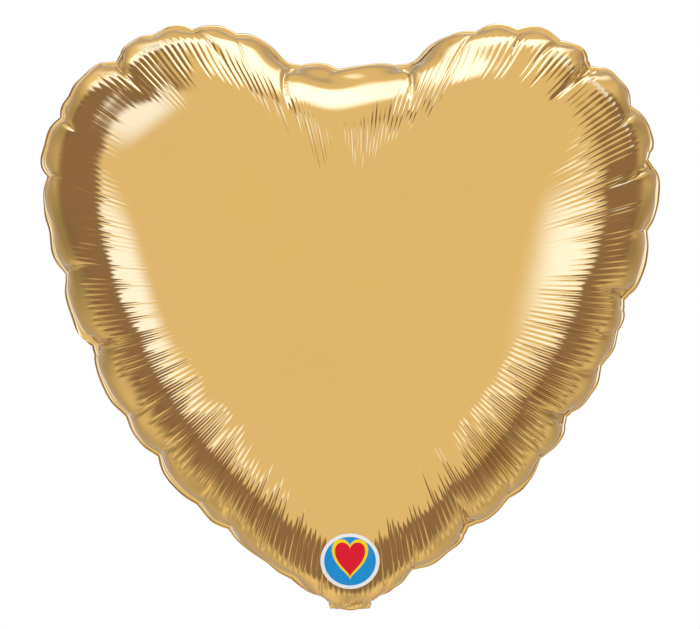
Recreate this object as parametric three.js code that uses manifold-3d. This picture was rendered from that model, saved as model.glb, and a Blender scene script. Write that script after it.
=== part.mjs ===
// A heart-shaped foil balloon, inflated. Millimetres, +Z up, and the front faces -Y.
// The origin is the middle of the neck, where the two panels' seam meets the tail at the point of the heart.
//
// Two heart-shaped sheets of metallised film are welded together round their edges, so each is a dished shell
// with a flat flange outside the weld. A tail hangs from the point of the heart. It is two plies of the same
// film with a flat two-film valve between them, and the valve runs on through the neck into the envelope.
// The tail folds about the neck, and here it is folded straight back.
// The film is drawn far thicker than the real one, which is about 0.04 mm.

import * as THREE from "three";
import { mergeVertices } from "three/addons/utils/BufferGeometryUtils.js";
import Module from "manifold-3d";

const wasm = await Module();
wasm.setup();

// Outline of the inflated heart, over the flange: right half, and the left half mirrors it.
const LOBE = { x: 90.5, z: 249.6, r: 89.3 }; // round top of one lobe
const SIDE_R = 305; // long side, from the lobe to the tip
const TIP_R = 30.5; // tip of the heart
const CLEFT_Z = 317.3; // flat bottom of the cleft between the lobes
const FLANGE = 5; // width of the welded edge
const DEPTH = 196; // front to back, at the deepest place

// Films and gaps.
const FILM = 0.5; // foil panels and tail plies
const VALVE_FILM = 0.3;
const GAP = 0.2; // left between neighbouring films
const SEAL = 2 * VALVE_FILM + GAP; // melted layer between the two flanges
const SEAM = SEAL + 2 * GAP; // room between the two panels' flanges
const SEAL_SETBACK = 0.5; // from the flange's outer edge

// Tail and valve.
const TAIL = { width: 34, length: 60, corner: 6, root: 0.8 };
const HINGE_Z = -2.8; // fold line of the tail, under the neck
const VALVE = { width: 26, inside: 100, clear: 0.5 };
const PORT = { r: 5, fromEnd: 14 }; // inflation hole in the tail's rear ply
const SIDE_SEAL = 3; // width of the tail's welded edges

// Printed mark on the front, near the point.
const MARK = { z: 26.6, r: 17, thick: 0.3, clear: 0.4 };

// Fineness.
const AROUND = 88; // points round the outline, a multiple of 2
const RINGS = 9; // from the middle of a panel to its edge
const MIDDLE = new THREE.Vector2(0, 192); // the rings shrink to this point
const SWEEPS = 600; // of the membrane's solver
const MARK_AROUND = 32;

// ---- outline ----

// The crossing of two circles that has the smaller x.
function leftCrossing(a, ra, b, rb) {
  const d = a.distanceTo(b);
  const along = (ra * ra - rb * rb + d * d) / (2 * d);
  const across = Math.sqrt(ra * ra - along * along);
  const ex = b.clone().sub(a).normalize();
  const ey = new THREE.Vector2(-ex.y, ex.x);
  const crossings = [across, -across].map((h) =>
    a.clone().addScaledVector(ex, along).addScaledVector(ey, h),
  );
  return crossings.sort((p, q) => p.x - q.x)[0];
}

function angleFrom(centre, point) {
  return Math.atan2(point.y - centre.y, point.x - centre.x);
}

// The right half of the heart as a line and three arcs that run into each other smoothly, from the cleft
// down to the point.
function rightHalf() {
  const lobe = new THREE.Vector2(LOBE.x, LOBE.z);
  const tip = new THREE.Vector2(0, TIP_R);
  const side = leftCrossing(lobe, SIDE_R - LOBE.r, tip, SIDE_R - TIP_R);
  const up = CLEFT_Z - LOBE.z;
  const corner = new THREE.Vector2(LOBE.x - Math.sqrt(LOBE.r ** 2 - up ** 2), CLEFT_Z);
  const lobeEnd = angleFrom(side, lobe);
  const sideEnd = angleFrom(side, tip);
  const half = new THREE.CurvePath();
  half.add(new THREE.LineCurve(new THREE.Vector2(0, CLEFT_Z), corner));
  half.add(new THREE.EllipseCurve(lobe.x, lobe.y, LOBE.r, LOBE.r, angleFrom(lobe, corner), lobeEnd, true));
  half.add(new THREE.EllipseCurve(side.x, side.y, SIDE_R, SIDE_R, lobeEnd, sideEnd, true));
  half.add(new THREE.EllipseCurve(tip.x, tip.y, TIP_R, TIP_R, sideEnd, -Math.PI / 2, true));
  return half;
}

// Points round the whole outline, clockwise from the cleft.
function heartOutline() {
  const right = rightHalf().getSpacedPoints(AROUND / 2);
  const left = right.slice(1, -1).map((p) => new THREE.Vector2(-p.x, p.y));
  return [...right, ...left.reverse()];
}

// The same outline moved inwards by a distance.
function inset(outline, distance) {
  return outline.map((p, i) => {
    const before = outline.at(i - 1);
    const after = outline[(i + 1) % outline.length];
    const along = after.clone().sub(before).normalize();
    return new THREE.Vector2(p.x + along.y * distance, p.y - along.x * distance);
  });
}

// ---- inflated shape ----

// Rings of points from the middle, where they meet in one point, to an outline. They crowd towards the edge.
function ringsTo(outline) {
  return Array.from({ length: RINGS }, (_, i) => {
    const share = Math.sin(((i + 1) / RINGS) * (Math.PI / 2));
    return outline.map((p) => MIDDLE.clone().lerp(p, share));
  });
}

// Triangles between rings of equal length. Point 0 is the middle, and ring i starts at 1 + i * AROUND.
function ringTriangles(rings) {
  const n = rings[0].length;
  const triangles = [];
  for (let k = 0; k < n; k++) {
    const next = (k + 1) % n;
    triangles.push([0, 1 + k, 1 + next]);
    for (let i = 0; i + 1 < rings.length; i++) {
      const a = 1 + i * n + k;
      const b = 1 + i * n + next;
      triangles.push([a, a + n, b + n], [a, b + n, b]);
    }
  }
  return triangles;
}

// The sag of a membrane under an even load, held at its edge: linear triangles and Gauss-Seidel sweeps.
function membrane(points, triangles, freeCount) {
  const load = points.map(() => 0);
  const links = points.map(() => new Map());
  const link = (a, b, weight) => {
    links[a].set(b, (links[a].get(b) ?? 0) + weight);
    links[b].set(a, (links[b].get(a) ?? 0) + weight);
  };
  for (const triangle of triangles) {
    const [a, b, c] = triangle.map((i) => points[i]);
    const area2 = Math.abs(b.clone().sub(a).cross(c.clone().sub(a)));
    triangle.forEach((corner, i) => {
      const [p, q] = [triangle[(i + 1) % 3], triangle[(i + 2) % 3]];
      const u = points[p].clone().sub(points[corner]);
      const v = points[q].clone().sub(points[corner]);
      link(p, q, u.dot(v) / area2 / 2);
      load[corner] += area2 / 6;
    });
  }
  const sag = points.map(() => 0);
  for (let sweep = 0; sweep < SWEEPS; sweep++) {
    for (let i = 0; i < freeCount; i++) {
      let sum = load[i];
      let total = 0;
      for (const [j, weight] of links[i]) {
        sum += weight * sag[j];
        total += weight;
      }
      sag[i] = sum / total;
    }
  }
  return sag;
}

// An inflated film follows the square root of the membrane's sag, which stands upright at the edge.
function inflatedHeights(outline, height) {
  const rings = ringsTo(outline);
  const points = [MIDDLE, ...rings.flat()];
  const triangles = ringTriangles(rings);
  const sag = membrane(points, triangles, points.length - outline.length);
  const most = Math.max(...sag);
  return { points, triangles, heights: sag.map((s) => height * Math.sqrt(s / most)) };
}

const OUTLINE = heartOutline();
const EDGE = inset(OUTLINE, FLANGE); // where the film leaves the flange
const FLANGE_Y = SEAM / 2 + FILM; // outer face of a flange, from the seam's plane
const ENVELOPE = inflatedHeights(EDGE, DEPTH / 2 - FLANGE_Y);

// ---- solids ----

// A closed skin from rings of [x, y, z] points: the first and last ring are drawn together at a point each.
function skin(firstPoint, rings, lastPoint, flip) {
  const n = rings[0].length;
  const positions = [firstPoint, ...rings.flat(), lastPoint];
  const last = positions.length - 1;
  const index = [];
  const face = (a, b, c) => index.push(...(flip ? [a, c, b] : [a, b, c]));
  for (let k = 0; k < n; k++) {
    const next = (k + 1) % n;
    face(0, 1 + k, 1 + next);
    for (let i = 0; i + 1 < rings.length; i++) {
      const a = 1 + i * n + k;
      const b = 1 + i * n + next;
      face(a, a + n, b + n);
      face(a, b + n, b);
    }
    face(last - n + k, last, last - n + next);
  }
  const geometry = new THREE.BufferGeometry();
  geometry.setAttribute("position", new THREE.Float32BufferAttribute(positions.flat(), 3));
  geometry.setIndex(index);
  geometry.computeVertexNormals();
  return geometry;
}

// A dished layer over the inflated shape. Side is -1 for the front and 1 for the rear. From and to are how far
// its two faces stand from the seam's plane where it meets the flange, and a rim of points closes it there. It
// stands steepest at the edge, so there its inner face is drawn in by its wall.
function dish(side, from, to, wall = 0, rim = []) {
  const at = (p, y) => [p.x, side * y, p.y];
  const outer = [];
  const inner = [];
  for (let i = 0; i < RINGS; i++) {
    const start = 1 + i * AROUND;
    const ring = ENVELOPE.points.slice(start, start + AROUND);
    outer.push(ring.map((p, k) => at(p, to + ENVELOPE.heights[start + k])));
    const drawnIn = (p) => p.clone().lerp(MIDDLE, (wall * (i / RINGS) ** 4) / p.distanceTo(MIDDLE));
    inner.push(ring.map((p, k) => at(drawnIn(p), from + ENVELOPE.heights[start + k])));
  }
  const top = ENVELOPE.heights[0];
  return skin(at(MIDDLE, to + top), [...outer, ...rim, ...inner.reverse()], at(MIDDLE, from + top), side < 0);
}

// A dished panel with its flange.
function panel(side) {
  const rim = [FLANGE_Y, SEAM / 2].map((y) => OUTLINE.map((p) => [p.x, side * y, p.y]));
  return dish(side, SEAM / 2, FLANGE_Y, FILM, rim);
}

// A flat plate cut to a shape drawn in x and z, from one y to another.
function plateXZ(shape, fromY, toY) {
  const geometry = new THREE.ExtrudeGeometry(shape, { depth: toY - fromY, bevelEnabled: false });
  return geometry.rotateX(Math.PI / 2).translate(0, toY, 0);
}

// A flat plate cut to a shape drawn in x and y, from one z to another.
function plateXY(shape, fromZ, toZ) {
  return new THREE.ExtrudeGeometry(shape, { depth: toZ - fromZ, bevelEnabled: false }).translate(0, 0, fromZ);
}

// A rectangle between two x and two y, with its corners at the far y rounded.
function stripShape(x0, x1, y0, y1, corner = 0) {
  const shape = new THREE.Shape().moveTo(x0, y0).lineTo(x1, y0);
  if (corner === 0) return shape.lineTo(x1, y1).lineTo(x0, y1).closePath();
  return shape
    .lineTo(x1, y1 - corner)
    .absarc(x1 - corner, y1 - corner, corner, 0, Math.PI / 2, false)
    .lineTo(x0 + corner, y1)
    .absarc(x0 + corner, y1 - corner, corner, Math.PI / 2, Math.PI, false)
    .closePath();
}

// The melted layer between the flanges: a band round the heart, open at the neck for the valve.
function heatSealBand() {
  const outside = inset(OUTLINE, SEAL_SETBACK);
  const inside = inset(OUTLINE, FLANGE);
  const clearOfValve = VALVE.width / 2 + VALVE.clear;
  const kept = OUTLINE.map((p, i) => i).filter(
    (i) => OUTLINE[i].y > LOBE.z || Math.min(Math.abs(outside[i].x), Math.abs(inside[i].x)) > clearOfValve,
  );
  const bottom = AROUND / 2;
  const round = [...kept.filter((i) => i > bottom), ...kept.filter((i) => i < bottom)];
  const band = [...round.map((i) => outside[i]), ...round.map((i) => inside[i]).reverse()];
  return plateXZ(new THREE.Shape(band), -SEAL / 2, SEAL / 2);
}

// One film of the valve inside the envelope.
function valveFilm(side) {
  const half = VALVE.width / 2;
  const near = GAP / 2;
  const far = near + VALVE_FILM;
  const shape = stripShape(-half, half, VALVE.clear, VALVE.inside);
  return side < 0 ? plateXZ(shape, -far, -near) : plateXZ(shape, near, far);
}

// Heights in the folded tail, up from its middle plane. The rear ply is on top.
const plyFrom = SEAM / 2;
const plyTo = SEAM / 2 + FILM;

function tailShape() {
  return stripShape(-TAIL.width / 2, TAIL.width / 2, TAIL.root, TAIL.length, TAIL.corner);
}

function tailFrontPly() {
  return plateXY(tailShape(), HINGE_Z - plyTo, HINGE_Z - plyFrom);
}

function tailRearPly() {
  const shape = tailShape();
  const port = new THREE.Path().absarc(0, TAIL.length - PORT.fromEnd, PORT.r, 0, 2 * Math.PI, true);
  shape.holes.push(port);
  return plateXY(shape, HINGE_Z + plyFrom, HINGE_Z + plyTo);
}

function tailSideSeal(side) {
  const outer = TAIL.width / 2 - SEAL_SETBACK;
  const [x0, x1] = [side * outer, side * (outer - SIDE_SEAL)].sort((a, b) => a - b);
  const shape = stripShape(x0, x1, TAIL.root, TAIL.length - TAIL.corner);
  return plateXY(shape, HINGE_Z - SEAL / 2, HINGE_Z + SEAL / 2);
}

function tailValveFilm(side) {
  const half = VALVE.width / 2;
  const near = GAP / 2;
  const far = near + VALVE_FILM;
  const shape = stripShape(-half, half, TAIL.root, TAIL.length - VALVE.clear);
  return side < 0
    ? plateXY(shape, HINGE_Z - far, HINGE_Z - near)
    : plateXY(shape, HINGE_Z + near, HINGE_Z + far);
}

// A closed mesh as a solid that can be cut.
function solidOf(geometry) {
  geometry.deleteAttribute("normal");
  geometry.deleteAttribute("uv");
  const merged = mergeVertices(geometry);
  const mesh = new wasm.Mesh({
    numProp: 3,
    vertProperties: new Float32Array(merged.attributes.position.array),
    triVerts: new Uint32Array(merged.index.array),
  });
  return new wasm.Manifold(mesh);
}

function geometryOf(solid) {
  const mesh = solid.getMesh();
  const geometry = new THREE.BufferGeometry();
  geometry.setAttribute("position", new THREE.BufferAttribute(mesh.vertProperties, 3));
  geometry.setIndex(new THREE.BufferAttribute(mesh.triVerts, 1));
  geometry.computeVertexNormals();
  return geometry;
}

// The printed mark: a thin layer that follows the front panel, cut round.
function printedMark() {
  const layer = solidOf(dish(-1, FLANGE_Y + MARK.clear, FLANGE_Y + MARK.clear + MARK.thick));
  const punch = new THREE.CylinderGeometry(MARK.r, MARK.r, DEPTH, MARK_AROUND).translate(0, -DEPTH / 2, MARK.z);
  return geometryOf(layer.intersect(solidOf(punch)));
}

// ---- assembly ----

const goldFoil = new THREE.MeshStandardMaterial({ color: 0xdfb368, roughness: 0.15, metalness: 1 });
const clearFilm = new THREE.MeshStandardMaterial({ color: 0xdfe3e4, roughness: 0.3, metalness: 0 });
const meltedFilm = new THREE.MeshStandardMaterial({ color: 0xe6e2d6, roughness: 0.5, metalness: 0 });
const printInk = new THREE.MeshStandardMaterial({ color: 0xf6f5f1, roughness: 0.4, metalness: 0 });

function piece(name, geometry, material) {
  const mesh = new THREE.Mesh(geometry, material);
  mesh.name = name;
  return mesh;
}

const envelope = new THREE.Group();
envelope.add(
  piece("front_panel", panel(-1), goldFoil),
  piece("rear_panel", panel(1), goldFoil),
  piece("heat_seal_band", heatSealBand(), meltedFilm),
  piece("valve_front_film", valveFilm(-1), clearFilm),
  piece("valve_rear_film", valveFilm(1), clearFilm),
  piece("printed_mark", printedMark(), printInk),
);

const tail = new THREE.Group();
tail.add(
  piece("tail_front_ply", tailFrontPly(), goldFoil),
  piece("tail_rear_ply", tailRearPly(), goldFoil),
  piece("tail_seal_left", tailSideSeal(-1), meltedFilm),
  piece("tail_seal_right", tailSideSeal(1), meltedFilm),
  piece("tail_valve_front_film", tailValveFilm(-1), clearFilm),
  piece("tail_valve_rear_film", tailValveFilm(1), clearFilm),
);

const balloon = new THREE.Group();
balloon.add(envelope, tail);

export default balloon;
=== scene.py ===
import math

import bpy
import numpy as np
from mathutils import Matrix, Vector
from mathutils.bvhtree import BVHTree


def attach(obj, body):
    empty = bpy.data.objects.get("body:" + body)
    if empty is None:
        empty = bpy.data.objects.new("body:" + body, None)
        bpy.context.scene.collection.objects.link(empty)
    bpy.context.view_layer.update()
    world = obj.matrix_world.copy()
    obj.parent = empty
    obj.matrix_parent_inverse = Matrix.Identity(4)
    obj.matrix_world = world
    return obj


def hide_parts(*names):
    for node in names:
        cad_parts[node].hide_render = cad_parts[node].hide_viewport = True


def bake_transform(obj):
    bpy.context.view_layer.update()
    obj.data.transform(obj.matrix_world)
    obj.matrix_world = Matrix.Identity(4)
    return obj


# A heart-shaped foil balloon. Two flat heart sheets are welded at the edge and blown up by Blender's cloth
# solver. The result is resampled finely, the small ripples that the solver's mesh can't hold are added, and
# the welded edge, the tail, the valve and the print are built on it. Shapes are in millimetres until a piece
# is made.

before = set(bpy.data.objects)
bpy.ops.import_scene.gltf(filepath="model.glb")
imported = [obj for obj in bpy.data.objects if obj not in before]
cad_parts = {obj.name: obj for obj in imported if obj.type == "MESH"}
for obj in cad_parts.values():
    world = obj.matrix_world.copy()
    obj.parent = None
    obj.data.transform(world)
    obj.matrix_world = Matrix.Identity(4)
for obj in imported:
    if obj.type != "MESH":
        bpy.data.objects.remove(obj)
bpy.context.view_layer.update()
MM = 0.001

# ---- sizes, in millimetres ----

# The flat pattern along its weld: lobes, long sides and point as arcs, with a straight cleft. Filling the
# balloon draws this in to the CAD outline.
LOBE = {"x": 107.0, "z": 251.2, "r": 125.8}
SIDE_R = 353.7
TIP_R = 67.5
CLEFT_Z = 366.0
TIP_Z = -41.4
MIDDLE = np.array([0.0, 192.0])
FLANGE = 5.0

HANDLE = 21.6  # how long the handles are that bend the rays from the middle square to the outline

# The creases of the edge: how far round from the cleft's middle, as a share of the whole way round, and how
# deep each one starts. The right side's go clockwise and the left side's anticlockwise.
RIGHT_CREASES = [
    (0.039, 2.6), (0.074, 1.2), (0.096, 1.2), (0.120, 1.2), (0.142, 3.0), (0.174, 1.2),
    (0.207, 2.0), (0.246, 0.8), (0.283, 2.2), (0.299, 0.8), (0.318, 1.2), (0.349, 2.2),
    (0.374, 1.2), (0.399, 0.8), (0.424, 2.2), (0.460, 1.2), (0.482, 0.3),
]  # fmt: skip
LEFT_CREASES = [
    (0.038, 2.6), (0.068, 1.0), (0.091, 1.3), (0.138, 2.2), (0.183, 1.2), (0.217, 0.8),
    (0.269, 1.3), (0.308, 2.2), (0.347, 0.8), (0.373, 1.3), (0.404, 0.8), (0.424, 1.2),
    (0.483, 0.3),
]  # fmt: skip
CREASE = {"scale": 1.2, "width": 7.0, "reach": 40.0}

# The solver's mesh.
ROUND = 400
RINGS = 26
FRAMES = 36
LARGEST_RIPPLE_SHARE = 0.12  # of the hoop length, that small ripples take up
UNEVEN = 0.05  # how rough the sheets start, so that they don't crease like clockwork

# The bar between the cleft's corners is straightened after the solver: where that starts to fade and where
# it ends, as shares of the way round, and how far it reaches, as a share of the way to the middle.
CLEFT_BAR = {"from": 0.022, "to": 0.036, "reach": 0.5}
CLEFT_BAR_BENDS = 4  # the degree of the curves that it is straightened to

# The fine sheets.
EDGE_COLUMNS = 2048
EDGE_ROWS = 36
EDGE_DEPTH = 0.56  # share of the way from the edge to the middle
CLEFT_DEEPER = {"by": 3.85, "to": 0.07}  # how much deeper the rows go under the cleft
# Farther in the columns halve four times: the share of the way that each ends at, and its number of rings.
HALVINGS = [(0.64, 3), (0.75, 4), (0.86, 4), (0.97, 4)]

# Where the ripples run: how far round each side from the cleft's middle, where along the film from the edge
# they begin and end, and how steep they are.
RIPPLE_COUNT = 290
RIGHT_RIPPLES = [
    (0.000, 96, 128, 0.60), (0.032, 92, 126, 0.55), (0.055, 66, 116, 0.40), (0.090, 50, 84, 0.25),
    (0.120, 60, 100, 0.45), (0.150, 66, 116, 0.42), (0.190, 66, 122, 0.60), (0.250, 74, 114, 0.60),
    (0.300, 70, 120, 0.75), (0.350, 62, 122, 0.85), (0.420, 60, 112, 0.85), (0.470, 58, 104, 0.75),
    (0.500, 50, 90, 0.50),
]  # fmt: skip
LEFT_RIPPLES = [
    (0.000, 96, 128, 0.60), (0.032, 92, 126, 0.55), (0.070, 66, 118, 0.45), (0.100, 50, 84, 0.30),
    (0.130, 60, 104, 0.70), (0.160, 56, 90, 0.55), (0.190, 70, 100, 0.15), (0.230, 76, 114, 0.60),
    (0.300, 72, 116, 0.70), (0.360, 68, 122, 0.80), (0.420, 60, 112, 0.85), (0.470, 56, 104, 0.75),
    (0.500, 50, 90, 0.50),
]  # fmt: skip

# The grooves along the creases, each in a wide hollow, the pillow. "fades_from" is a share of the reach.
GROOVE = {"depth": 2.1, "width": 1.3, "pillow": 0.85, "fades_from": 0.45}
GROOVE_LEAN = 0.16  # at most, to either side
# The first crease on either side is at the cleft's corner. Its groove leans towards the lobe and is shifted
# towards the cleft's middle by a share of the way round, on the right and on the left.
CORNER_GROOVE = {"depth": 2.31, "width": 1.82, "pillow": 0.255, "fades_from": 0.7}
CORNER_LEAN = 0.30
CORNER_SHIFT = {1: 0.009, -1: 0.006}
CORNERS_BEFORE = 0.05  # of the way round
GROOVE_REACH = {"least": 70.0, "per_strength": 14.0}
PILLOW = {"width": 10.0, "reach": 112.0}
# Creases of at least this strength have a lesser groove on either side.
BESIDE_GROOVE = {"over": 2.0, "nearest": 5, "farthest": 8, "after": 0.45, "before": 0.4}
NECK_DRAW = {"down": 3.2, "half_width": 15.0, "reach": 46.0}
NECK_PLEAT = {"height": 0.5, "across": 1.35, "half_width": 20.0, "reach": 34.0}

# The flange and the tail.
FLANGE_ROWS = 6
FLANGE_STANDS = {"width": 4.2, "lean": 0.95}
FLANGE_BLEND = 26  # columns over which the flange passes into the neck
FILMS_APART = 0.1  # half of the gap between the two films in the flange
TAIL_ROWS = 46
TAIL = {"width": 34.0, "length": 60.0, "corner": 6.0}
GATHERED = {"at_neck": 0.68, "more_at_end": 0.08}  # the tail's width, as a share of its flat width
FOLD = {"drop": 1.3, "radius": 1.5}
PORT = {"y": 46.0, "r": 5.0}
VALVE_HALF = 13.0
VALVE_TOP = 100.0
VALVE_ROWS_INSIDE = 14
VALVE_APART = 0.05  # half of the gap between the valve's films
SIDE_SEAL = 3.0
SEAL_SETBACK = 0.5
SEAL_FROM = 0.12  # share of the flange's width where the heat seal starts
WELD_SHORTER = 4  # the tail's welds are this much shorter than its length
WELD_COLUMNS = 7
MARK = {"z": 28.6, "r": 17.0, "lift": 0.06}
MARK_RINGS = 48
MARK_AROUND = 200
IN_FRONT = -0.3  # metres, where the rays start that lay the print on the film

FRONT_SEED = 21
REAR_SEED = 22
GROOVE_SEED = 31
FLANGE_SEED = 11


# ---- the flat pattern ----


def arc(centre, radius, start, end, count):
    """Points clockwise along an arc."""
    if end > start:
        end -= 2 * math.pi
    t = np.linspace(start, end, count)
    return np.c_[centre[0] + radius * np.cos(t), centre[1] + radius * np.sin(t)]


def angle(centre, point):
    """The direction of a point from a centre."""
    return math.atan2(point[1] - centre[1], point[0] - centre[0])


def flat_outline(count):
    """Evenly spaced points round the flat heart's weld, clockwise from the cleft's middle."""
    lobe = np.array([LOBE["x"], LOBE["z"]])
    tip = np.array([0.0, TIP_Z + TIP_R])
    to_lobe = SIDE_R - LOBE["r"]
    to_tip = SIDE_R - TIP_R
    gap = np.linalg.norm(tip - lobe)
    along = (to_lobe**2 - to_tip**2 + gap**2) / (2 * gap)
    across = math.sqrt(to_lobe**2 - along**2)
    ahead = (tip - lobe) / gap
    aside = np.array([-ahead[1], ahead[0]])
    side = min((lobe + ahead * along + aside * s for s in (across, -across)), key=lambda p: p[0])
    rise = CLEFT_Z - LOBE["z"]
    corner = np.array([LOBE["x"] - math.sqrt(LOBE["r"] ** 2 - rise**2), CLEFT_Z])
    pieces = [
        np.linspace([0.0, CLEFT_Z], corner, 200),
        arc(lobe, LOBE["r"], angle(lobe, corner), angle(side, lobe), 800),
        arc(side, SIDE_R, angle(side, lobe), angle(side, tip), 800),
        arc(tip, TIP_R, angle(side, tip), -math.pi / 2, 200),
    ]
    half = np.vstack([pieces[0]] + [p[1:] for p in pieces[1:]])
    length = np.r_[0, np.cumsum(np.linalg.norm(np.diff(half, axis=0), axis=1))]
    at = np.linspace(0, length[-1], count // 2 + 1)
    right = np.c_[np.interp(at, length, half[:, 0]), np.interp(at, length, half[:, 1])]
    left = right[1:-1][::-1] * [-1, 1]
    return np.vstack([right, left])


def smooth_round(values, passes):
    """Values round the outline, each drawn towards its neighbours."""
    for _ in range(passes):
        values = 0.5 * values + 0.25 * (np.roll(values, 1, 0) + np.roll(values, -1, 0))
    return values


def inward(outline):
    """Unit normals of a clockwise outline, pointing inwards."""
    along = np.roll(outline, -1, 0) - np.roll(outline, 1, 0)
    along /= np.linalg.norm(along, axis=1, keepdims=True)
    return np.c_[along[:, 1], -along[:, 0]]


def in_seam(points):
    """Directions from a closed line of points into the balloon, in the plane of the seam."""
    directions = np.zeros(points.shape)
    directions[:, [0, 2]] = smooth_round(inward(points[:, [0, 2]]), 30)
    return directions


def flat_rings(outline, shares):
    """Rings between the middle and the outline. They leave the outline at right angles."""
    normal = smooth_round(inward(outline), int(len(outline) * 0.02))
    normal /= np.linalg.norm(normal, axis=1, keepdims=True)
    first = outline + normal * HANDLE
    middle = np.broadcast_to(MIDDLE, outline.shape)
    second = middle + (first - middle) * 0.4
    rings = []
    for u in 1 - shares:
        ring = (1 - u) ** 3 * outline + 3 * (1 - u) ** 2 * u * first
        rings.append(ring + 3 * (1 - u) * u**2 * second + u**3 * middle)
    return np.array(rings)


# ---- blowing it up ----


def ideal_contraction(shares):
    """How far film at this share of a flat disc's radius is drawn in when the disc is blown up."""
    t = np.linspace(0, math.pi / 2, 4001)
    slope = 1 / np.sqrt(1 + np.sin(t) ** 2)
    flat = np.r_[0, np.cumsum((slope[1:] + slope[:-1]) / 2 * np.diff(t))]
    at = np.interp(shares * flat[-1], flat, np.sin(t))
    return at / np.maximum(shares * flat[-1], 1e-6)


def crease_depths(outline):
    """How deep the edge starts drawn in, round the outline."""
    steps = np.linalg.norm(np.roll(outline, -1, 0) - outline, axis=1)
    length = steps.sum()
    at = np.r_[0, np.cumsum(steps)[:-1]] / length
    depth = np.zeros(len(outline))
    for places, turn in ((RIGHT_CREASES, 1), (LEFT_CREASES, -1)):
        for place, strength in places:
            away = ((at - turn * place + 0.5) % 1 - 0.5) * length
            depth += strength * CREASE["scale"] * np.exp(-((away / CREASE["width"]) ** 2))
    return depth


def starting_shape(outline):
    """The sheets slightly dished, with the hoop length that small ripples take up already gone. Returns the
    rings of one side [ring, column, (x, depth, z)], the middle's depth and the flange's outer edge."""
    shares = np.sin(np.linspace(0, 1, RINGS + 1)[1:] * math.pi / 2)
    depth = crease_depths(outline)
    normal = smooth_round(inward(outline), 6)
    rings = flat_rings(outline, shares)
    away = np.linalg.norm(rings - outline[None], axis=2)
    fading = np.exp(-((away / CREASE["reach"]) ** 2))
    rings = rings + (normal * depth[:, None])[None] * fading[..., None]
    edge = outline + normal * depth[:, None] - normal * FLANGE

    centre = np.broadcast_to(MIDDLE, (1, *outline.shape))
    steps = np.linalg.norm(np.diff(np.concatenate([centre, rings]), axis=0), axis=2)
    arc_share = np.cumsum(steps, 0) / steps.sum(0)
    excess = 1 / ideal_contraction(arc_share) - 1
    rippled = LARGEST_RIPPLE_SHARE * (1 - np.exp(-excess / LARGEST_RIPPLE_SHARE))
    drawn = MIDDLE + (rings - MIDDLE) / (1 + rippled)[..., None]
    plan = np.linalg.norm(np.diff(np.concatenate([centre, drawn]), axis=0), axis=2)
    rise = np.sqrt(np.maximum(steps**2 - plan**2, 0))
    height = np.concatenate([np.cumsum(rise[::-1], 0)[::-1], np.zeros((1, len(outline)))])
    top = height[0].mean()
    height = height + (top - height[0]) * (1 - np.concatenate([np.zeros((1, len(outline))), arc_share]))
    height = np.maximum(height[1:] - depth * fading, 0)
    side = np.stack([drawn[..., 0], height, drawn[..., 1]], axis=2)
    edge = MIDDLE + (edge - MIDDLE) / (1 + rippled[-1])[:, None]
    return side, top, edge


def ring_faces(first, second, count):
    """Quads between two rings of a mesh, by the index of each ring's first point."""
    j = np.arange(count)
    k = (j + 1) % count
    return np.c_[first + j, first + k, second + k, second + j]


def inflate(outline):
    """Blows the balloon up. Returns the front and the rear, middle to weld [ring, column, xyz]."""
    count = len(outline)
    side, top, edge = starting_shape(outline)
    rng = np.random.default_rng(3)
    uneven = smooth_round(rng.normal(0, UNEVEN, (count, 2, RINGS)), 3).transpose(1, 2, 0)
    front = side * [1, -1, 1]
    rear = side.copy()
    front[..., 1] -= uneven[0]
    rear[..., 1] += uneven[1]
    weld = rear[-1]
    weld[:, 1] = 3 * uneven[0, -1]
    flange = np.c_[edge[:, 0], 6 * uneven[1, -2], edge[:, 1]]

    vertices = np.vstack(
        [[[MIDDLE[0], -top, MIDDLE[1]]], front[:-1].reshape(-1, 3), [[MIDDLE[0], top, MIDDLE[1]]]]
        + [rear[:-1].reshape(-1, 3), weld, flange]
    )
    rear_start = 1 + (RINGS - 1) * count
    weld_start = 2 * rear_start
    flange_start = weld_start + count
    faces = []
    for start, flip in ((0, False), (rear_start, True)):
        starts = [start + 1 + i * count for i in range(RINGS - 1)] + [weld_start]
        j = np.arange(count)
        fan = np.c_[np.full(count, start), np.roll(j, -1) + start + 1, j + start + 1]
        faces += (fan[:, ::-1] if flip else fan).tolist()
        for first, second in zip(starts, starts[1:]):
            quads = ring_faces(first, second, count)
            faces += (quads[:, ::-1] if flip else quads).tolist()
    faces += ring_faces(weld_start, flange_start, count).tolist()

    settled = blow_up(vertices, faces, flange_start)
    weld = settled[weld_start:flange_start]
    grids = []
    for start in (0, rear_start):
        middle = np.broadcast_to(settled[start], (1, count, 3))
        rings = settled[start + 1 : start + 1 + (RINGS - 1) * count].reshape(-1, count, 3)
        grids.append(np.concatenate([middle, rings, weld[None]]))
    return grids


def straighten_cleft(grid):
    """Takes the solver's dents out of the short bar between the cleft's two corners."""
    rows, count = grid.shape[:2]
    turn = from_cleft(count)
    near = np.flatnonzero(np.abs(turn) < CLEFT_BAR["to"])
    places = turn[near] / CLEFT_BAR["to"]
    weight = 1 - smoothstep(CLEFT_BAR["from"], CLEFT_BAR["to"], np.abs(turn[near]))
    result = grid.copy()
    for row in range(rows):
        distance = 1 - math.sin(row / (rows - 1) * math.pi / 2)
        blend = weight * (1 - smoothstep(0.5 * CLEFT_BAR["reach"], CLEFT_BAR["reach"], distance))
        for axis in range(3):
            bar = grid[row, near, axis]
            line = np.polynomial.Polynomial.fit(places, bar, CLEFT_BAR_BENDS)(places)
            result[row, near, axis] += (line - bar) * blend
    return result


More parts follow.
